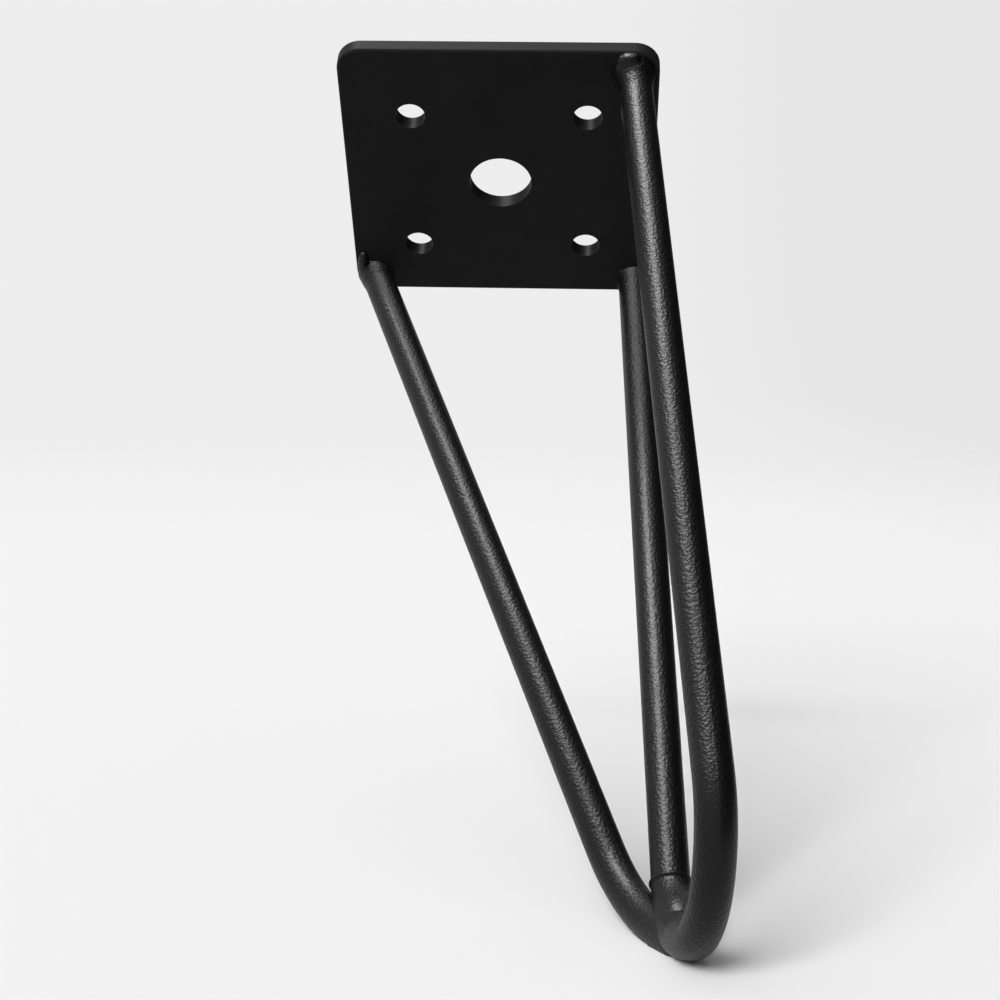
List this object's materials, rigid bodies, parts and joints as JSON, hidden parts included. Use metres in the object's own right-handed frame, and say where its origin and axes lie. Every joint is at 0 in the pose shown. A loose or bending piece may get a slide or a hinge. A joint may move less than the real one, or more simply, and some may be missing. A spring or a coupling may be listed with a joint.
{
  "type": "hairpin table leg",
  "caption": "Bent steel rod furniture leg: a square screw plate with round rods running down to a single curved foot, in black powder coat.",
  "frame": {"origin": "on the axis of the middle hole of the plate, which is the centre of the screw hole pattern, level with the plate's top face", "axes": "+Z out of the plate's top face, up at the tabletop; +X to the right and +Y to the back, along the plate's edges; the foot hangs below, out past the right-hand edge"},
  "size_m": [0.1346, 0.1161, 0.3183],
  "materials": {
    "plate_coat": "fine satin black powder coat",
    "rod_coat": "fine satin black powder coat",
    "weld_coat": "fine satin black powder coat over welds"
  },
  "bodies": {
    "root": {"mounting_plate": "plate_coat", "near_right_rod": "rod_coat", "far_right_rod": "rod_coat", "far_left_rod": "rod_coat", "near_right_weld": "weld_coat", "far_right_weld": "weld_coat", "far_left_weld": "weld_coat", "foot_weld": "weld_coat"}
  },
  "joints": []
}
